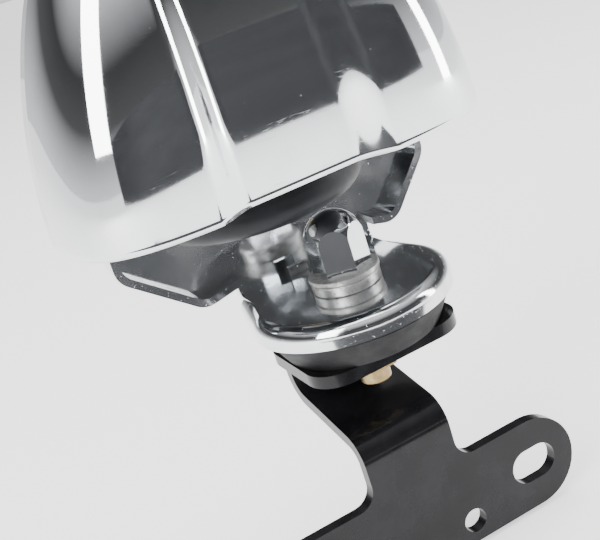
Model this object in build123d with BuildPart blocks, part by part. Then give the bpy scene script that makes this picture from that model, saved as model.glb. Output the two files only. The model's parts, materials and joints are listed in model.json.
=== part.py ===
"""Electric vehicle horn under a chrome hood, rubber-mounted on a cranked steel bracket. Millimetres, +Z up, front towards -Y.
The origin is the centre of the bracket's small round hole, on the bracket's rear face."""

import math
import os

from build123d import *

os.makedirs("parts", exist_ok=True)

# Where the rubber-mount stud stands: its axis, and the top face of the chrome foot.
stud_x = -10.2
stud_y = 7.8
foot_top = 71.4

# Painted mounting bracket, measured from the stud axis and the foot's top face.
strip_thickness = 3.2
strip_width = 25.0
strip_centre_x = -2.0
tab_front_y = -17.0
tab_half_width = 20.5
tab_top = -13.0
crank_back_y = 22.6
crank_low = -31.0
crank_front_low = -37.3
plate_front_y = -11.0
plate_top = -52.5
plate_bottom = -77.6
slot_x = 31.2
slot_length = 13.5
slot_width = 9.5
hole_x = 10.2
hole_z = -71.4
hole_radius = 3.3

# Rubber mount and its fasteners.
stud_radius = 3.95
stud_low = -27.0
stud_high = 15.0
rubber_top_radius = 23.9
rubber_low_radius = 20.0
rubber_seat_radius = 17.0
nut_across_flats = 12.7
collar_height = 2.8
nut_base = 4.2
nut_height = 15.2
nut_flat_height = 11.2

# Chrome foot and back plate.
sheet = 2.0
foot_radius = 26.0
foot_centre_y = 1.7
skirt_depth = 5.6
neck_half_width = 20.0
back_plate_y = 22.8
back_plate_x = -5.0

# Electric horn: a bowl about an upright axis, with the diaphragm clamped across its top.
horn_x = -13.7
horn_y = 5.3
bowl_radius = 27.7
bowl_low = 25.2
bowl_corner = 6.0
bowl_neck_radius = 23.4
flange_radius = 28.0
flange_z = 54.0
horn_wall = 1.5
core_radius = 4.2
coil_low = 28.2
coil_high = 44.0
coil_radius = 11.5
magnet_gap = 1.0
rivet_count = 8
rivet_circle = 26.0
rivet_radius = 1.25
yoke_half_gap = 24.6
yoke_gap_low = 21.5
yoke_gap_high = 66.0
lug_spread = 28.6
lug_z = 45.5

# Chrome hood, a domed shell that is open below and behind.
hood_x = -11.0
panel_x = -13.2
hood_rim_z = 35.0
hood_height = 82.0
hood_half_width = 50.7
hood_back_y = 8.0
hood_depth = 39.0
hood_wall = 1.3
hood_power = 4.0
recess_depth = 4.8
recess_edge = 21.3
recess_floor = 13.0
hood_layers = 14
hood_columns = 60
hood_stud_z = 74.0
hood_stud_radius = 2.5

seat = Plane(origin=(stud_x, stud_y, foot_top))
front = Plane(origin=(stud_x, stud_y, foot_top), x_dir=(1, 0, 0), z_dir=(0, -1, 0))
side = Plane(origin=(stud_x, stud_y, foot_top), x_dir=(0, 1, 0), z_dir=(1, 0, 0))


def save(piece, name):
    """Labels a finished piece and writes it as the node of that name."""
    piece.part.label = name
    export_step(piece.part, f"parts/{name}.step")


def level(z):
    """Horizontal plane at a height above the foot's top face."""
    return seat.offset(z)


def facing(y):
    """Upright plane at a distance behind the stud axis, whose normal points to the front."""
    return front.offset(-y)


# ---------------------------------------------------------------- mounting bracket
half_sheet = strip_thickness / 2
with BuildPart() as mounting_bracket:
    with BuildSketch(side.offset(strip_centre_x - strip_width / 2)):
        with BuildLine():
            FilletPolyline(
                (stud_radius + 4, tab_top - half_sheet),
                (crank_back_y, tab_top - half_sheet),
                (crank_back_y, crank_low),
                (plate_front_y + half_sheet, crank_front_low),
                (plate_front_y + half_sheet, plate_top - 6),
                radius=(4.5, 7.0, 6.0),
            )
        trace(line_width=strip_thickness)
    extrude(amount=strip_width)
    with BuildSketch(level(tab_top)):
        with Locations((0, (tab_front_y + stud_radius + 14) / 2)):
            RectangleRounded(2 * tab_half_width, stud_radius + 14 - tab_front_y, 8.5)
    extrude(amount=-strip_thickness)
    with BuildSketch(facing(plate_front_y)):
        plate_middle = (plate_top + plate_bottom) / 2
        plate_height = plate_top - plate_bottom
        with Locations((strip_centre_x, plate_middle)):
            SlotCenterToCenter(2 * (slot_x - strip_centre_x), plate_height)
        with Locations((strip_centre_x, plate_top + 1.5)):
            Rectangle(strip_width, 9)
    extrude(amount=-strip_thickness)
    inner_corners = (
        mounting_bracket.edges()
        .filter_by(Axis.Y)
        .filter_by(lambda e: abs(e.center().Z - foot_top - plate_top) < 0.4)
        .filter_by(lambda e: abs(abs(e.center().X - stud_x - strip_centre_x) - strip_width / 2) < 0.4)
    )
    fillet(inner_corners, 5.0)
    with BuildSketch(facing(plate_front_y)):
        with Locations(
            (slot_x, plate_middle), (2 * strip_centre_x - slot_x, plate_middle)
        ):
            SlotOverall(slot_length, slot_width)
        with Locations((hole_x, hole_z)):
            Circle(hole_radius)
    extrude(amount=-strip_thickness, mode=Mode.SUBTRACT)
    with BuildSketch(level(tab_top)):
        Circle(stud_radius + 0.05)
    extrude(amount=-strip_thickness, mode=Mode.SUBTRACT)
save(mounting_bracket, "mounting_bracket")

# ---------------------------------------------------------------- rubber mount
with BuildPart() as rubber_isolator:
    with BuildSketch(side):
        with BuildLine():
            Polyline(
                (stud_radius, -sheet),
                (rubber_seat_radius, -sheet),
                (rubber_seat_radius, -skirt_depth),
                (rubber_top_radius, -skirt_depth - 0.4),
                (rubber_low_radius, tab_top),
                (stud_radius, tab_top),
                close=True,
            )
        make_face()
    revolve(axis=Axis((stud_x, stud_y, 0), (0, 0, 1)))
    with BuildSketch(level(-sheet - 3)):
        Circle(stud_radius + 7)
    extrude(amount=-2.0, mode=Mode.SUBTRACT)
save(rubber_isolator, "rubber_isolator")

with BuildPart() as stud_flange:
    with BuildSketch(level(-sheet - 3)):
        Circle(stud_radius + 7)
        Circle(stud_radius, mode=Mode.SUBTRACT)
    extrude(amount=-2.0)
save(stud_flange, "stud_flange")

with BuildPart() as mount_stud:
    with BuildSketch(level(stud_low)):
        Circle(stud_radius)
    extrude(amount=stud_high - stud_low)
    chamfer(mount_stud.edges().filter_by(GeomType.CIRCLE), 0.6)
save(mount_stud, "mount_stud")

with BuildPart() as stud_nut:
    with BuildSketch(level(tab_top - strip_thickness - 1.4)):
        RegularPolygon(nut_across_flats / 2, 6, major_radius=False)
        Circle(stud_radius, mode=Mode.SUBTRACT)
    extrude(amount=-4.6)
save(stud_nut, "stud_nut")

with BuildPart() as stud_nut_washer:
    with BuildSketch(level(tab_top - strip_thickness)):
        Circle(8.6)
        Circle(stud_radius, mode=Mode.SUBTRACT)
    extrude(amount=-1.4)
save(stud_nut_washer, "stud_nut_washer")

# ---------------------------------------------------------------- stack on the foot
bore_clear = stud_radius + 0.35
with BuildPart() as spacer_collar:
    with BuildSketch(level(0)):
        Circle(8.7)
        Circle(bore_clear, mode=Mode.SUBTRACT)
    extrude(amount=collar_height)
    fillet(spacer_collar.edges().filter_by(GeomType.CIRCLE).sort_by(SortBy.RADIUS)[-2:], 0.5)
save(spacer_collar, "spacer_collar")

with BuildPart() as flat_washer:
    with BuildSketch(level(collar_height)):
        Circle(9.0)
        Circle(bore_clear, mode=Mode.SUBTRACT)
    extrude(amount=nut_base - collar_height)
    fillet(flat_washer.edges().filter_by(GeomType.CIRCLE).sort_by(SortBy.RADIUS)[-2:], 0.4)
save(flat_washer, "flat_washer")

with BuildPart() as acorn_nut:
    corner_radius = nut_across_flats / math.sqrt(3)
    with BuildSketch(level(nut_base)):
        RegularPolygon(corner_radius, 6, rotation=-27.4)
    extrude(amount=nut_height)
    with BuildSketch(side):
        with BuildLine():
            shoulder = nut_base + nut_flat_height
            Polyline((0, nut_base), (corner_radius, nut_base), (corner_radius, shoulder - 2.4))
            ThreePointArc(
                (corner_radius, shoulder - 2.4),
                (corner_radius * 0.72, nut_base + nut_height - 2.2),
                (0, nut_base + nut_height),
            )
            Line((0, nut_base + nut_height), (0, nut_base))
        make_face()
    revolve(axis=Axis((stud_x, stud_y, 0), (0, 0, 1)), mode=Mode.INTERSECT)
    with BuildSketch(level(nut_base)):
        Circle(bore_clear)
    extrude(amount=stud_high - nut_base + 0.6, mode=Mode.SUBTRACT)
save(acorn_nut, "acorn_nut")

# ---------------------------------------------------------------- chrome bracket
plate_corners = [
    (back_plate_x - 15, 4.5),
    (back_plate_x - 26, 2.6),
    (back_plate_x - 44.5, 18),
    (back_plate_x - 44.5, 57),
    (back_plate_x - 32, 84),
    (back_plate_x + 14, 84),
    (back_plate_x + 42, 44),
    (back_plate_x + 44.5, 18),
    (back_plate_x + 31, 2.6),
    (back_plate_x + 25, 4.5),
]
with BuildPart() as horn_bracket:
    with BuildSketch(level(0)) as foot_outline:
        neck_y = back_plate_y - 1
        with BuildLine():
            left = Line((-neck_half_width - 1.5, neck_y), (-foot_radius, foot_centre_y))
            nose = ThreePointArc(left @ 1, (0, foot_centre_y - foot_radius), (foot_radius, foot_centre_y))
            right = Line(nose @ 1, (neck_half_width + 1.5, neck_y))
            Line(right @ 1, left @ 0)
        make_face()
        fillet(foot_outline.vertices().filter_by(lambda v: v.Y < neck_y - 5), 22)
    extrude(amount=-skirt_depth)
    rounded = horn_bracket.faces().sort_by(Axis.Z)[-1].edges().sort_by(Axis.Y)[:-1]
    fillet(rounded, 3.4)
    with BuildSketch(level(-sheet)):
        with BuildLine():
            inner = foot_radius - 2.0
            left_in = Line((-neck_half_width, back_plate_y + 1), (-inner, foot_centre_y))
            nose_in = ThreePointArc(left_in @ 1, (0, foot_centre_y - inner), (inner, foot_centre_y))
            right_in = Line(nose_in @ 1, (neck_half_width, back_plate_y + 1))
            Line(right_in @ 1, left_in @ 0)
        make_face()
    extrude(amount=-skirt_depth, mode=Mode.SUBTRACT)
    with BuildSketch(side.offset(-neck_half_width)):
        with BuildLine():
            FilletPolyline(
                (back_plate_y - 9, -sheet / 2),
                (back_plate_y + sheet / 2, -sheet / 2),
                (back_plate_y + sheet / 2, 12),
                radius=3.2,
            )
        trace(line_width=sheet)
    extrude(amount=2 * neck_half_width)
    with BuildSketch(facing(back_plate_y)):
        with BuildLine():
            FilletPolyline(*plate_corners, radius=6, close=True)
        make_face()
    extrude(amount=-sheet)
    with BuildSketch(facing(back_plate_y)):
        with BuildLine():
            FilletPolyline(*plate_corners, radius=6, close=True)
        make_face()
        offset(amount=-sheet, mode=Mode.SUBTRACT)
    extrude(amount=5.0)
    with BuildSketch(facing(back_plate_y - 5.2)):
        with Locations((0, 4)):
            Rectangle(2 * neck_half_width - 1, 8)
    extrude(amount=-5.2, mode=Mode.SUBTRACT)
    with BuildSketch(facing(back_plate_y - 6)):
        with Locations((horn_x, (yoke_gap_low + yoke_gap_high) / 2)):
            RectangleRounded(2 * yoke_half_gap, yoke_gap_high - yoke_gap_low, 9)
        with Locations((horn_x - lug_spread, lug_z), (horn_x + lug_spread, lug_z)):
            Circle(2.3)
        with Locations((panel_x, hood_stud_z)):
            Circle(2.9)
    extrude(amount=-10, mode=Mode.SUBTRACT)
    with BuildSketch(level(1)):
        Circle(stud_radius + 0.05)
    extrude(amount=-sheet - 2, mode=Mode.SUBTRACT)
    with BuildSketch(level(-sheet)):
        with Locations((-4.4, back_plate_y - 4.2)):
            Rectangle(5.4, 1.2)
    extrude(amount=sheet + 3.4)
save(horn_bracket, "horn_bracket")

# ---------------------------------------------------------------- horn body
horn_axis = Axis((stud_x + horn_x, stud_y + horn_y, 0), (0, 0, 1))
horn_side = side.offset(horn_x)
horn_middle = (horn_x, horn_y)
floor_top = bowl_low + horn_wall
flange_top = flange_z + horn_wall


def disc(height, outer, inner, thick):
    """Flat disc or ring about the horn's axis; its lower face is at the height given."""
    with BuildPart() as piece:
        with BuildSketch(level(height)):
            with Locations(horn_middle):
                Circle(outer)
                if inner > 0:
                    Circle(inner, mode=Mode.SUBTRACT)
        extrude(amount=thick)
    return piece


def hexagon(plane, place, across, bore, thick):
    """Hexagonal nut or bolt head on a plane, standing along the plane's normal."""
    with BuildPart() as piece:
        with BuildSketch(plane):
            with Locations(place):
                RegularPolygon(across / 2, 6, major_radius=False)
                if bore > 0:
                    Circle(bore, mode=Mode.SUBTRACT)
        extrude(amount=thick)
        outer_rims = piece.faces().sort_by(Axis(plane.origin, plane.z_dir))[-1].outer_wire().edges()
        chamfer(outer_rims, 0.5)
    return piece


def rivet_pins(bottom, top, radius, taper=0.0):
    """Circle of short pins where the rim rivets stand."""
    with BuildPart() as pins:
        with BuildSketch(level(bottom)):
            with Locations(horn_middle):
                with PolarLocations(rivet_circle, rivet_count, start_angle=22.5):
                    Circle(radius)
        extrude(amount=top - bottom, taper=taper)
    return pins


tone_place = (horn_x + 8.5, horn_y + 13.5)
with BuildPart() as horn_bowl:
    with BuildSketch(horn_side):
        with BuildLine():
            outer_wall = FilletPolyline(
                (horn_y, bowl_low),
                (horn_y + bowl_radius, bowl_low),
                (horn_y + bowl_neck_radius, flange_z),
                (horn_y + flange_radius, flange_z),
                radius=(bowl_corner, 0.4),
            )
            Line(outer_wall @ 1, (horn_y + flange_radius, flange_top))
            inner_wall = FilletPolyline(
                (horn_y + flange_radius, flange_top),
                (horn_y + bowl_neck_radius - horn_wall, flange_top),
                (horn_y + bowl_radius - horn_wall, floor_top),
                (horn_y, floor_top),
                radius=(1.2, bowl_corner - horn_wall),
            )
            Line(inner_wall @ 1, outer_wall @ 0)
        make_face()
    revolve(axis=horn_axis)
    add(rivet_pins(flange_z, flange_top, rivet_radius).part, mode=Mode.SUBTRACT)
    with BuildSketch(level(bowl_low)):
        with Locations(horn_middle):
            Circle(2.5)
        with Locations(tone_place):
            Circle(1.55)
    extrude(amount=horn_wall, mode=Mode.SUBTRACT)
    with BuildSketch(facing(horn_y + 14)):
        with Locations((horn_x, 40.5)):
            Rectangle(20, 7)
    extrude(amount=-20, mode=Mode.SUBTRACT)
save(horn_bowl, "horn_bowl")

with BuildPart() as mount_ring:
    with BuildSketch(level(flange_z)):
        with Locations(horn_middle):
            Circle(flange_radius)
        for hand in (-1, 1):
            with Locations((horn_x + hand * (lug_spread - 1.2), (back_plate_y + 11.0) / 2)):
                Rectangle(10.5, back_plate_y - 11.0)
        with Locations(horn_middle):
            Circle(bowl_neck_radius + 0.7, mode=Mode.SUBTRACT)
    extrude(amount=-1.6)
    add(rivet_pins(flange_z - 1.6, flange_z, rivet_radius).part, mode=Mode.SUBTRACT)
    with BuildSketch(facing(back_plate_y)):
        for hand in (-1, 1):
            with Locations((horn_x + hand * lug_spread, (flange_z + lug_z - 4.2) / 2)):
                Rectangle(7.6, flange_z - lug_z + 4.2)
    extrude(amount=2.0)
    with BuildSketch(facing(back_plate_y)):
        for hand in (-1, 1):
            with Locations((horn_x + hand * lug_spread, lug_z)):
                Circle(2.0)
    extrude(amount=2.0, mode=Mode.SUBTRACT)
save(mount_ring, "mount_ring")

with BuildPart() as lug_screws:
    for hand in (-1, 1):
        with BuildSketch(facing(back_plate_y - 2.0)):
            with Locations((horn_x + hand * lug_spread, lug_z)):
                Circle(3.6)
        extrude(amount=2.8)
        with BuildSketch(facing(back_plate_y - 2.0)):
            with Locations((horn_x + hand * lug_spread, lug_z)):
                Circle(2.0)
        extrude(amount=-8.0)
        with BuildSketch(facing(back_plate_y - 4.8)):
            with Locations((horn_x + hand * lug_spread, lug_z)):
                Rectangle(7.4, 1.0, rotation=30 * hand)
        extrude(amount=-1.2, mode=Mode.SUBTRACT)
save(lug_screws, "lug_screws")

with BuildPart() as lug_nuts:
    for hand in (-1, 1):
        with BuildSketch(facing(back_plate_y + sheet)):
            with Locations((horn_x + hand * lug_spread, lug_z)):
                RegularPolygon(3.5, 6, major_radius=False)
                Circle(2.0, mode=Mode.SUBTRACT)
        extrude(amount=-3.2)
save(lug_nuts, "lug_nuts")

with BuildPart() as flange_gasket:
    add(disc(flange_top, flange_radius, bowl_neck_radius - 1.6, 0.5).part)
    add(rivet_pins(flange_top, flange_top + 0.5, rivet_radius).part, mode=Mode.SUBTRACT)
save(flange_gasket, "flange_gasket")

with BuildPart() as diaphragm:
    add(disc(flange_top + 0.5, flange_radius, 3.0, 0.5).part)
    add(rivet_pins(flange_top + 0.5, flange_top + 1.0, rivet_radius).part, mode=Mode.SUBTRACT)
save(diaphragm, "diaphragm")

with BuildPart() as clamp_ring:
    add(disc(flange_top + 1.0, flange_radius, bowl_neck_radius - 1.6, 1.5).part)
    add(rivet_pins(flange_top + 1.0, flange_top + 2.5, rivet_radius).part, mode=Mode.SUBTRACT)
    fillet(clamp_ring.edges().group_by(Axis.Z)[-1].sort_by(SortBy.RADIUS)[-1], 0.6)
save(clamp_ring, "clamp_ring")

with BuildPart() as rim_rivets:
    add(rivet_pins(flange_z - 1.6, flange_top + 2.5, rivet_radius).part)
    add(rivet_pins(flange_z - 1.6, flange_z - 2.6, 1.85, 25).part)
    add(rivet_pins(flange_top + 2.5, flange_top + 3.5, 1.85, 25).part)
save(rim_rivets, "rim_rivets")

# ---------------------------------------------------------------- electromagnet
core_top = coil_high + 2.0
with BuildPart() as pole_core:
    add(disc(floor_top, core_radius, 0, core_top - floor_top).part)
    with BuildSketch(level(floor_top)):
        with Locations(horn_middle):
            Circle(2.5)
    extrude(amount=12, mode=Mode.SUBTRACT)
save(pole_core, "pole_core")

with BuildPart() as pole_bolt:
    add(disc(bowl_low, 2.5, 0, horn_wall + 10).part)
    add(hexagon(level(bowl_low - 4.0).rotated((180, 0, 0)).offset(-4.0), (horn_x, -horn_y), 10, 0, 4.0).part)
save(pole_bolt, "pole_bolt")

with BuildPart() as coil_bobbin:
    add(disc(floor_top, 6.0, core_radius, coil_high + 1.5 - floor_top).part)
    add(disc(floor_top, coil_radius + 0.5, core_radius, coil_low - floor_top).part)
    add(disc(coil_high, coil_radius + 0.5, core_radius, 1.5).part)
save(coil_bobbin, "coil_bobbin")

coil_winding = disc(coil_low, coil_radius, 6.0, coil_high - coil_low)
save(coil_winding, "coil_winding")

# ---------------------------------------------------------------- armature and tone disc
armature_low = core_top + magnet_gap
collar_z = armature_low + 3.0
with BuildPart() as armature:
    add(disc(armature_low, 5.5, 0, flange_top + 0.2 - armature_low).part)
    add(disc(collar_z, 8.0, 0, 1.2).part)
    add(disc(armature_low, 2.95, 0, 16.5).part)
save(armature, "armature")

with BuildPart() as tone_disc:
    with BuildSketch(horn_side):
        with BuildLine():
            Polyline(
                (horn_y + 2.95, flange_top + 1.8),
                (horn_y + 6.5, flange_top + 1.8),
                (horn_y + 6.5, flange_top + 3.6),
                (horn_y + 13.0, flange_top + 4.2),
                (horn_y + 20.0, flange_top + 7.0),
                (horn_y + 19.4, flange_top + 8.2),
                (horn_y + 12.6, flange_top + 5.5),
                (horn_y + 6.0, flange_top + 5.0),
                (horn_y + 2.95, flange_top + 5.0),
                close=True,
            )
        make_face()
    revolve(axis=horn_axis)
save(tone_disc, "tone_disc")

tone_disc_nut = hexagon(level(flange_top + 5.0), horn_middle, 9, 2.95, 2.6)
save(tone_disc_nut, "tone_disc_nut")

# ---------------------------------------------------------------- breaker
pin_z = collar_z - 1.4
arm_x = horn_x - 17.0
with BuildPart() as arm_post:
    with BuildSketch(level(floor_top)):
        with Locations((arm_x, horn_y)):
            Rectangle(5, 9)
    extrude(amount=pin_z + 2.4 - floor_top)
    with BuildSketch(level(pin_z - 2.0)):
        with Locations((arm_x, horn_y)):
            Rectangle(6, 5.2)
    extrude(amount=6, mode=Mode.SUBTRACT)
    with BuildSketch(facing(horn_y - 6)):
        with Locations((arm_x, pin_z)):
            Circle(1.0)
    extrude(amount=-12, mode=Mode.SUBTRACT)
save(arm_post, "arm_post")

with BuildPart() as arm_pin:
    with BuildSketch(facing(horn_y - 4.5)):
        with Locations((arm_x, pin_z)):
            Circle(1.0)
    extrude(amount=-9)
save(arm_pin, "arm_pin")

with BuildPart() as contact_arm:
    with BuildSketch(facing(horn_y - 2.3)):
        with Locations((arm_x + 4.0, pin_z)):
            Rectangle(13.4, 2.4)
        with Locations((arm_x, pin_z)):
            Circle(1.05, mode=Mode.SUBTRACT)
    extrude(amount=-4.6)
save(contact_arm, "contact_arm")

with BuildPart() as fixed_contact:
    with BuildSketch(level(floor_top)):
        with Locations((horn_x - 12.5, horn_y + 10)):
            Rectangle(3, 3)
    extrude(amount=collar_z + 1.3 - floor_top)
    with BuildSketch(level(collar_z + 0.1)):
        with Locations((horn_x - 12.5, horn_y + 5)):
            Rectangle(3, 13)
    extrude(amount=1.2)
save(fixed_contact, "fixed_contact")

with BuildPart() as terminal_block:
    with BuildSketch(facing(horn_y + 20)):
        with Locations((horn_x, 40.5)):
            Rectangle(20, 7)
            with Locations((-5.5, 0), (5.5, 0)):
                Rectangle(6.3, 0.8, mode=Mode.SUBTRACT)
    extrude(amount=-9)
save(terminal_block, "terminal_block")

with BuildPart() as terminal_blades:
    with BuildSketch(level(40.1)):
        with Locations((horn_x - 5.5, horn_y + 27.5), (horn_x + 5.5, horn_y + 27.5)):
            Rectangle(6.3, 21)
        with Locations((horn_x - 5.5, horn_y + 34), (horn_x + 5.5, horn_y + 34)):
            Circle(0.9, mode=Mode.SUBTRACT)
    extrude(amount=0.8)
save(terminal_blades, "terminal_blades")

with BuildPart() as tone_screw:
    with BuildSketch(level(bowl_low - 3.1)):
        with Locations(tone_place):
            Circle(3.0)
            Rectangle(6.4, 0.9, mode=Mode.SUBTRACT)
    extrude(amount=1.0)
    with BuildSketch(level(bowl_low - 2.1)):
        with Locations(tone_place):
            Circle(3.0)
    extrude(amount=1.8)
    with BuildSketch(level(bowl_low - 0.3)):
        with Locations(tone_place):
            Circle(1.5)
    extrude(amount=10.0)
save(tone_screw, "tone_screw")

tone_screw_nut = hexagon(level(floor_top), tone_place, 6.5, 1.55, 2.4)
save(tone_screw_nut, "tone_screw_nut")

# ---------------------------------------------------------------- chrome hood
def eased(value):
    """Runs from 0 to 1 as the value does, almost straight, with soft ends."""
    clipped = min(max(value, 0.0), 1.0)
    return 0.55 * clipped + 0.45 * clipped * clipped * (3 - 2 * clipped)


def hood_points(rise, inset):
    """One level outline of the hood from its left back edge round the front to the right one."""
    across = hood_half_width * (1 - rise**1.8) ** (1 / 1.8) - inset
    reach = hood_depth * (1 - rise**2.2) ** (1 / 1.8) - inset
    depth = recess_depth * (1 - rise**3)
    squeeze = 1 - 0.22 * rise
    outline = []
    for step in range(hood_columns + 1):
        aside = -math.cos(math.pi * step / hood_columns)
        bulge = max(1 - abs(aside) ** hood_power, 0) ** (1 / hood_power)
        spread = abs(hood_x + aside * across - panel_x) / squeeze
        sunk = depth * (1 - eased((spread - recess_floor) / (recess_edge - recess_floor)))
        sunk = min(sunk, 0.5 * reach)
        outline.append((hood_x + aside * across, hood_back_y - reach * bulge + sunk * bulge))
    return outline


def hood_form(inset, low, high, behind):
    """Solid bounded by the hood's outer face, or by a face inside it, closed flat at the back."""
    with BuildPart() as form:
        for layer in range(hood_layers + 1):
            share = layer / hood_layers
            rise = low + (high - low) * math.sin(share * math.pi / 2)
            with BuildSketch(level(hood_rim_z + rise * hood_height)):
                with BuildLine():
                    outline = hood_points(max(rise, 0), inset)
                    Spline(*outline)
                    back_y = hood_back_y + behind
                    Polyline(outline[-1], (outline[-1][0], back_y), (outline[0][0], back_y), outline[0])
                make_face()
        loft(ruled=True)
    return form


hood_solid = hood_form(0, 0.0, 0.992, 3.0)
with BuildPart() as hood_boss:
    with BuildSketch(facing(-13)):
        with Locations((panel_x, hood_stud_z)):
            Circle(6.0)
    extrude(amount=16)
    add(hood_solid.part, mode=Mode.INTERSECT)

with BuildPart() as hood:
    add(hood_solid.part)
    add(hood_form(hood_wall, -0.03, 0.968, 8.0).part, mode=Mode.SUBTRACT)
    add(hood_boss.part)
    with BuildSketch(facing(-13)):
        with Locations((panel_x, hood_stud_z)):
            Circle(hood_stud_radius)
    extrude(amount=5, mode=Mode.SUBTRACT)
save(hood, "hood")

with BuildPart() as hood_stud:
    with BuildSketch(facing(-18)):
        with Locations((panel_x, hood_stud_z)):
            Circle(hood_stud_radius)
    extrude(amount=-50)
save(hood_stud, "hood_stud")

with BuildPart() as hood_spacer:
    with BuildSketch(facing(-13)):
        with Locations((panel_x, hood_stud_z)):
            Circle(4.4)
            Circle(hood_stud_radius, mode=Mode.SUBTRACT)
    extrude(amount=-13 - back_plate_y)
save(hood_spacer, "hood_spacer")

rear = Plane(origin=(stud_x, stud_y, foot_top), x_dir=(-1, 0, 0), z_dir=(0, 1, 0))
with BuildPart() as hood_washer:
    with BuildSketch(rear.offset(back_plate_y + sheet)):
        with Locations((-panel_x, hood_stud_z)):
            Circle(6.5)
            Circle(hood_stud_radius, mode=Mode.SUBTRACT)
    extrude(amount=1.2)
save(hood_washer, "hood_washer")

hood_nut = hexagon(rear.offset(back_plate_y + sheet + 1.2), (-panel_x, hood_stud_z), 8, hood_stud_radius, 4.0)
save(hood_nut, "hood_nut")
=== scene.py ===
"""Looks of the hooded horn: the chrome hood's fine mesh, materials, floor, light and camera. Metres."""

import json
import math

import bmesh
import bpy
from mathutils import Matrix, Vector


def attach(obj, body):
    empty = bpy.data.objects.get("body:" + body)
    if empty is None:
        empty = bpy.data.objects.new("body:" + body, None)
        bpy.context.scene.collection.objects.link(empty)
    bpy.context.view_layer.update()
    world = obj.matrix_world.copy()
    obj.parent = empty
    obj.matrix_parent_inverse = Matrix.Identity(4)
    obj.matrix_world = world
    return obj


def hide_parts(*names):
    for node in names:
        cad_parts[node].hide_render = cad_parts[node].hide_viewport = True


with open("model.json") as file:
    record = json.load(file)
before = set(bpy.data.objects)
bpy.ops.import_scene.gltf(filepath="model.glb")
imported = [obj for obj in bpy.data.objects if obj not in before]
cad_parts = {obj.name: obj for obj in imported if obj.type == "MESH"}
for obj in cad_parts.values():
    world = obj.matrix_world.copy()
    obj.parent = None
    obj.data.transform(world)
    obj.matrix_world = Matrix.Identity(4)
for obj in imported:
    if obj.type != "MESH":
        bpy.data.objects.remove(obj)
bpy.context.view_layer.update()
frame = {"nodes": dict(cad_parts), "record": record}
nodes = frame["nodes"]
MM = 0.001
STUD = Vector((-10.2, 7.8, 71.4))  # stud axis at the top face of the foot, mm


# ---------------------------------------------------------------- node helpers
class Graph:
    """Small wrapper that adds nodes and links to one material."""

    def __init__(self, name):
        self.material = bpy.data.materials.new(name)
        self.material.use_nodes = True
        self.tree = self.material.node_tree
        self.shader = self.tree.nodes["Principled BSDF"]
        self.place = self.tree.nodes.new("ShaderNodeTexCoord").outputs["Object"]

    def node(self, kind, inputs=None, **settings):
        made = self.tree.nodes.new(kind)
        for key, value in settings.items():
            setattr(made, key, value)
        for key, value in (inputs or {}).items():
            if isinstance(value, bpy.types.NodeSocket):
                self.tree.links.new(value, made.inputs[key])
            else:
                made.inputs[key].default_value = value
        return made

    def stretched(self, factors):
        scale = {"Vector": self.place, "Scale": factors}
        return self.node("ShaderNodeMapping", scale).outputs["Vector"]

    def noise(self, scale, detail=3.0, roughness=0.55, vector=None):
        inputs = {"Vector": vector or self.place, "Scale": scale, "Detail": detail, "Roughness": roughness}
        return self.node("ShaderNodeTexNoise", inputs).outputs["Fac"]

    def spread(self, value, low, high, to_low, to_high):
        inputs = {0: value, 1: low, 2: high, 3: to_low, 4: to_high}
        return self.node("ShaderNodeMapRange", inputs).outputs[0]

    def mixed(self, factor, first, second):
        made = self.node("ShaderNodeMix", {0: factor}, data_type="RGBA")
        made.inputs[6].default_value = (*first, 1)
        made.inputs[7].default_value = (*second, 1)
        return made.outputs[2]

    def colour(self, value):
        self.tree.links.new(value, self.shader.inputs["Base Color"])

    def roughness(self, value):
        self.tree.links.new(value, self.shader.inputs["Roughness"])

    def bump(self, height, strength, distance=0.0002):
        inputs = {"Height": height, "Strength": strength, "Distance": distance}
        bumped = self.node("ShaderNodeBump", inputs).outputs["Normal"]
        self.tree.links.new(bumped, self.shader.inputs["Normal"])

    def fixed(self, **values):
        for key, value in values.items():
            self.shader.inputs[key.replace("_", " ")].default_value = value


def scratch_height(graph, scale):
    """Fine straight scratches: a noise stretched along one direction, kept only near its peaks."""
    fine = graph.noise(scale, 2.0, 0.5, graph.stretched((1.0, 0.12, 18.0)))
    return graph.spread(fine, 0.66, 0.72, 0.0, 1.0)


def metal(name, light, dark, rough_low, rough_high, patch_scale, bump_strength):
    """Bare or plated metal with patches of tone and roughness, and fine scratches."""
    graph = Graph(name)
    graph.fixed(Metallic=1.0)
    patches = graph.noise(patch_scale, 5.0, 0.6)
    graph.colour(graph.mixed(graph.spread(patches, 0.35, 0.68, 0.0, 1.0), light, dark))
    graph.roughness(graph.spread(graph.noise(patch_scale * 2.3, 4.0), 0.3, 0.7, rough_low, rough_high))
    graph.bump(scratch_height(graph, patch_scale * 3), bump_strength)
    return graph.material


def coating(name, light, dark, rough_low, rough_high, grain_scale, bump_strength, coat):
    """Paint, plastic or rubber: slightly uneven colour and sheen over a fine grain."""
    graph = Graph(name)
    graph.fixed(Coat_Weight=coat, Coat_Roughness=0.08, Specular_IOR_Level=0.22)
    patches = graph.noise(90.0, 5.0, 0.6)
    graph.colour(graph.mixed(graph.spread(patches, 0.4, 0.75, 0.0, 1.0), light, dark))
    graph.roughness(graph.spread(graph.noise(240.0, 4.0), 0.3, 0.75, rough_low, rough_high))
    graph.bump(graph.noise(grain_scale, 3.0), bump_strength)
    return graph.material


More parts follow.
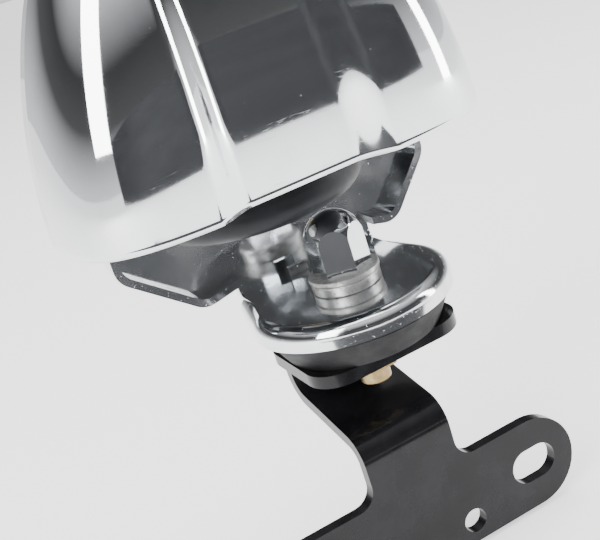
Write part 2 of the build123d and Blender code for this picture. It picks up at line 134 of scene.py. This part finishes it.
def chrome(name):
    """Bright plating with faint haze, hairline scratches and a few dull spots."""
    graph = Graph(name)
    graph.fixed(Metallic=1.0)
    haze = graph.noise(60.0, 6.0, 0.65)
    graph.colour(graph.mixed(graph.spread(haze, 0.5, 0.8, 0.0, 1.0), (0.86, 0.88, 0.9), (0.74, 0.76, 0.78)))
    spots = graph.spread(graph.noise(1400.0, 2.0), 0.72, 0.8, 0.0, 0.22)
    base = graph.spread(haze, 0.35, 0.75, 0.03, 0.085)
    total = graph.node("ShaderNodeMath", {0: base, 1: spots}, operation="ADD")
    graph.roughness(total.outputs[0])
    graph.bump(scratch_height(graph, 260.0), 0.03, 0.00003)
    return graph.material


def chrome_worn(name):
    """Plating on bent sheet: wavier and duller than the hood's, with fine pits."""
    graph = Graph(name)
    graph.fixed(Metallic=1.0)
    haze = graph.noise(110.0, 6.0, 0.65)
    graph.colour(graph.mixed(graph.spread(haze, 0.45, 0.8, 0.0, 1.0), (0.82, 0.84, 0.86), (0.6, 0.6, 0.6)))
    graph.roughness(graph.spread(haze, 0.35, 0.75, 0.06, 0.18))
    waves = graph.noise(28.0, 2.0, 0.4)
    pits = graph.spread(graph.noise(1500.0, 2.0), 0.7, 0.78, 0.0, 0.15)
    total = graph.node("ShaderNodeMath", {0: waves, 1: pits}, operation="SUBTRACT")
    graph.bump(total.outputs[0], 0.5, 0.0012)
    return graph.material


def winding(name):
    """Copper wire laid in level turns, with painted shade darkening the grooves between them."""
    graph = Graph(name)
    graph.fixed(Metallic=1.0)
    inputs = {"Vector": graph.place, "Scale": 620.0, "Distortion": 0.2, "Detail": 1.0}
    turns = graph.node("ShaderNodeTexWave", inputs, bands_direction="Z").outputs["Fac"]
    # Painted shade: the colour follows the bump's wave, dark in the grooves between turns and plain copper on
    # their crowns.
    graph.colour(graph.mixed(turns, (0.2, 0.07, 0.03), (0.72, 0.34, 0.16)))
    graph.roughness(graph.spread(graph.noise(300.0), 0.3, 0.7, 0.28, 0.42))
    graph.bump(turns, 0.6, 0.0003)
    return graph.material


def corroded(name):
    """Dull grey washers with pale and brown specks of corrosion."""
    graph = Graph(name)
    specks = graph.noise(700.0, 6.0, 0.7)
    graph.colour(graph.mixed(graph.spread(specks, 0.5, 0.72, 0.0, 1.0), (0.6, 0.6, 0.59), (0.26, 0.22, 0.17)))
    graph.tree.links.new(graph.spread(specks, 0.5, 0.75, 0.95, 0.45), graph.shader.inputs["Metallic"])
    graph.roughness(graph.spread(specks, 0.3, 0.7, 0.26, 0.6))
    graph.bump(specks, 0.12, 0.0001)
    return graph.material


looks = {
    "bracket_paint": coating(
        "bracket_gloss", (0.006, 0.006, 0.007), (0.014, 0.014, 0.016), 0.12, 0.24, 420.0, 0.04, 0.12
    ),
    "chrome_plate": chrome("chrome_bright"),
    "horn_black": coating(
        "horn_satin", (0.006, 0.007, 0.009), (0.012, 0.013, 0.016), 0.36, 0.5, 900.0, 0.1, 0.0
    ),
    "mount_rubber": coating(
        "isolator_rubber", (0.012, 0.012, 0.013), (0.03, 0.03, 0.031), 0.5, 0.72, 1300.0, 0.3, 0.0
    ),
    "zinc_steel": corroded("zinc_worn"),
    "gold_zinc": metal("zinc_yellow", (0.52, 0.4, 0.2), (0.3, 0.2, 0.1), 0.25, 0.45, 320.0, 0.2),
    "plain_steel": metal("steel_plain", (0.5, 0.5, 0.5), (0.3, 0.29, 0.28), 0.25, 0.45, 200.0, 0.2),
    "spring_steel": metal("steel_spring", (0.42, 0.43, 0.46), (0.28, 0.28, 0.3), 0.2, 0.35, 200.0, 0.1),
    "copper_wire": winding("copper_turns"),
    "contact_brass": metal("brass_plain", (0.8, 0.62, 0.3), (0.5, 0.36, 0.16), 0.2, 0.4, 260.0, 0.15),
    "insulator": coating(
        "fibre_board", (0.12, 0.06, 0.03), (0.06, 0.03, 0.018), 0.45, 0.65, 1000.0, 0.2, 0.0
    ),
    "gasket_paper": coating(
        "gasket_fibre", (0.22, 0.19, 0.15), (0.14, 0.12, 0.1), 0.7, 0.9, 1200.0, 0.3, 0.0
    ),
}
for part in frame["record"]["subparts"]:
    target = nodes[part["node"]]
    target.data.materials.clear()
    target.data.materials.append(looks[part["material_slot"]])

nodes["horn_bracket"].data.materials[0] = chrome_worn("chrome_sheet")

# Small worn edges on the machined and stamped pieces.
EDGE_WIDTHS = {"mounting_bracket": 0.45, "horn_bracket": 0.35, "acorn_nut": 0.3, "stud_nut": 0.3}
for name, width in EDGE_WIDTHS.items():
    bevel = nodes[name].modifiers.new("edge", "BEVEL")
    bevel.width = width * MM
    bevel.segments = 3
    bevel.limit_method = "ANGLE"
    bevel.angle_limit = math.radians(40)
    bevel.harden_normals = True

# ---------------------------------------------------------------- hood mesh
HOOD_X = -11.0
PANEL_X = -13.2
HOOD_RIM = 35.0
HOOD_HEIGHT = 82.0
HALF_WIDTH = 50.7
DEPTH = 39.0
BACK_Y = 8.0
WALL = 1.2
POWER = 4.0
RECESS = 4.8
RECESS_EDGE = 21.3
RECESS_FLOOR = 13.0
TOP_RISE = 0.99
INNER_TOP_DROP = 0.022
SIDE_CURVE = 1.8  # how squarely the outline closes towards the crown
REACH_CURVE = 2.2
CONVERGE = 0.22  # share of its width that the middle panel loses towards the crown
STRAIGHT_SHARE = 0.55  # of the step between panels; the rest is eased
BOSS_Y = -17.0
BOSS_Z = 74.0
BOSS_RADIUS = 6.0
BOSS_LENGTH = 8.0
COLUMNS = 240
ROWS = 90


def eased(value):
    """Runs from 0 to 1 as the value does, almost straight, with soft ends."""
    clipped = min(max(value, 0.0), 1.0)
    rounded = clipped * clipped * (3 - 2 * clipped)
    return STRAIGHT_SHARE * clipped + (1 - STRAIGHT_SHARE) * rounded


def hood_point(turn, rise, inset):
    """Point of the hood's face: turn runs from pi at the left back edge to 0 at the right one."""
    closing = 1 / SIDE_CURVE
    across = HALF_WIDTH * (1 - rise**SIDE_CURVE) ** closing - inset
    reach = DEPTH * (1 - rise**REACH_CURVE) ** closing - inset
    aside = math.cos(turn)
    bulge = max(1 - abs(aside) ** POWER, 0) ** (1 / POWER)
    spread = abs(HOOD_X + aside * across - PANEL_X) / (1 - CONVERGE * rise)
    step = eased((spread - RECESS_FLOOR) / (RECESS_EDGE - RECESS_FLOOR))
    sunk = min(RECESS * (1 - rise**3) * (1 - step), 0.5 * max(reach, 0.0))
    front = BACK_Y - reach * bulge + sunk * bulge
    place = Vector((HOOD_X + aside * across, front, HOOD_RIM + rise * HOOD_HEIGHT))
    return (STUD + place) * MM


def hood_mesh():
    """Double-skinned shell, open below and behind, joined along its edges and closed at the crown."""
    shape = bmesh.new()
    skins = []
    for inset, top in ((0.0, TOP_RISE), (WALL, TOP_RISE - INNER_TOP_DROP)):
        grid = []
        for row in range(ROWS + 1):
            rise = top * math.sin(row / ROWS * math.pi / 2)
            turns = [math.pi * (1 - column / COLUMNS) for column in range(COLUMNS + 1)]
            grid.append([shape.verts.new(hood_point(turn, rise, inset)) for turn in turns])
        skins.append(grid)
    outer, inner = skins
    for grid, flip in ((outer, False), (inner, True)):
        for row in range(ROWS):
            for column in range(COLUMNS):
                corners = [
                    grid[row][column],
                    grid[row][column + 1],
                    grid[row + 1][column + 1],
                    grid[row + 1][column],
                ]
                shape.faces.new(corners[::-1] if flip else corners)
        crown = grid[ROWS]
        shape.faces.new(crown[::-1] if flip else crown)
    for column in range(COLUMNS):
        shape.faces.new((outer[0][column + 1], outer[0][column], inner[0][column], inner[0][column + 1]))
    for row in range(ROWS):
        shape.faces.new((outer[row][0], outer[row + 1][0], inner[row + 1][0], inner[row][0]))
        shape.faces.new((outer[row + 1][-1], outer[row][-1], inner[row][-1], inner[row + 1][-1]))
    shape.faces.new((outer[ROWS][0], outer[ROWS][-1], inner[ROWS][-1], inner[ROWS][0]))
    bmesh.ops.recalc_face_normals(shape, faces=shape.faces)
    for face in shape.faces:
        face.smooth = True
    return shape


def from_bmesh(name, shape, material):
    data = bpy.data.meshes.new(name)
    shape.to_mesh(data)
    shape.free()
    data.materials.append(material)
    made = bpy.data.objects.new(name, data)
    bpy.context.scene.collection.objects.link(made)
    return made


hood_shape = hood_mesh()
boss_place = STUD + Vector((PANEL_X, BOSS_Y, BOSS_Z))
bmesh.ops.create_cone(
    hood_shape,
    cap_ends=True,
    segments=48,
    radius1=BOSS_RADIUS * MM,
    radius2=BOSS_RADIUS * MM,
    depth=BOSS_LENGTH * MM,
    matrix=Matrix.Translation(boss_place * MM) @ Matrix.Rotation(math.pi / 2, 4, "X"),
)
hood_shell = from_bmesh("hood_shell", hood_shape, looks["chrome_plate"])
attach(hood_shell, "horn_unit")
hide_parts("hood")

# ---------------------------------------------------------------- floor, light and camera
FLOOR_Z = -8.0 * MM
bpy.ops.mesh.primitive_plane_add(size=12, location=(0, 0, FLOOR_Z))
floor = bpy.context.object
floor.name = "floor"
floor_look = Graph("floor_pale")
floor_look.fixed(Roughness=0.9, Emission_Color=(1, 1, 1, 1), Emission_Strength=1.0)
floor_look.colour(floor_look.mixed(floor_look.noise(3.0), (0.9, 0.9, 0.9), (0.93, 0.93, 0.93)))
floor.data.materials.append(floor_look.material)



def dark_card(name, place, size, tilt):
    """A card that only the polished surfaces see."""
    bpy.ops.mesh.primitive_plane_add(size=1, location=place, rotation=(tilt, 0, 0))
    card = bpy.context.object
    card.name = name
    card.scale = (*size, 1)
    card.visible_camera = False
    card.visible_diffuse = False
    card.visible_shadow = False
    card_look = Graph(name)
    card_look.fixed(Roughness=0.8)
    card_look.colour(card_look.mixed(card_look.noise(6.0), (0.015, 0.016, 0.018), (0.05, 0.05, 0.055)))
    card.data.materials.append(card_look.material)


dark_card("card_near", (-0.03, -0.265, FLOOR_Z + 0.002), (0.5, 0.31), 0)
dark_card("card_far", (0.1, -1.3, 0.22), (3.0, 0.5), math.pi / 2)

world = bpy.data.worlds.new("studio")
bpy.context.scene.world = world
world.use_nodes = True
sky = world.node_tree
ramp = sky.nodes.new("ShaderNodeValToRGB")
direction = sky.nodes.new("ShaderNodeTexCoord")
parts = sky.nodes.new("ShaderNodeSeparateXYZ")
shift = sky.nodes.new("ShaderNodeMapRange")
shift.inputs[1].default_value = -1.0
shift.inputs[2].default_value = 1.0
sky.links.new(direction.outputs["Generated"], parts.inputs[0])
sky.links.new(parts.outputs["Z"], shift.inputs[0])
sky.links.new(shift.outputs[0], ramp.inputs[0])
sky.links.new(ramp.outputs[0], sky.nodes["Background"].inputs["Color"])
STOPS = ((0.0, 0.95), (0.5, 0.95), (0.56, 0.5), (0.62, 0.1), (0.72, 0.06), (0.8, 0.4), (0.9, 1.0))
elements = ramp.color_ramp.elements
for index, (position, level) in enumerate(STOPS):
    stop = elements[index] if index < 2 else elements.new(position)
    stop.position = position
    stop.color = (level, level * 1.01, level * 1.03, 1)


def soft_light(name, place, size, power, aim=(0, 0, 0.12)):
    lamp = bpy.data.lights.new(name, "AREA")
    lamp.shape = "RECTANGLE"
    lamp.size, lamp.size_y = size
    lamp.energy = power
    made = bpy.data.objects.new(name, lamp)
    made.location = place
    made.rotation_euler = (Vector(aim) - Vector(place)).to_track_quat("-Z", "Y").to_euler()
    bpy.context.scene.collection.objects.link(made)


soft_light("key_left", (-0.9, -0.55, 0.75), (0.5, 1.0), 16)
soft_light("fill_right", (0.9, -0.35, 0.35), (0.18, 0.9), 6)
soft_light("top", (0.0, 0.1, 1.1), (1.0, 0.8), 14)

AZIMUTH = math.radians(20.14)
ELEVATION = math.radians(19.34)
ROLL = math.radians(18.02)
FOCAL_IN_WIDTHS = 1079.3 / 600
EYE_OFFSET = Vector((-94.6, -228.6, 93.8))
level_reach = math.cos(ELEVATION)
back = Vector((-math.sin(AZIMUTH) * level_reach, -math.cos(AZIMUTH) * level_reach, math.sin(ELEVATION)))
level_right = Vector((math.cos(AZIMUTH), -math.sin(AZIMUTH), 0))
level_up = back.cross(level_right)
right = math.cos(ROLL) * level_right - math.sin(ROLL) * level_up
up = math.sin(ROLL) * level_right + math.cos(ROLL) * level_up
lens = bpy.data.cameras.new("photo_view")
lens.sensor_width = 36
lens.lens = 36 * FOCAL_IN_WIDTHS
lens.clip_start = 0.01
camera = bpy.data.objects.new("photo_view", lens)
turned = Matrix((right, up, back)).transposed().to_4x4()
camera.matrix_world = Matrix.Translation((STUD + EYE_OFFSET) * MM) @ turned
bpy.context.scene.collection.objects.link(camera)
bpy.context.scene.camera = camera
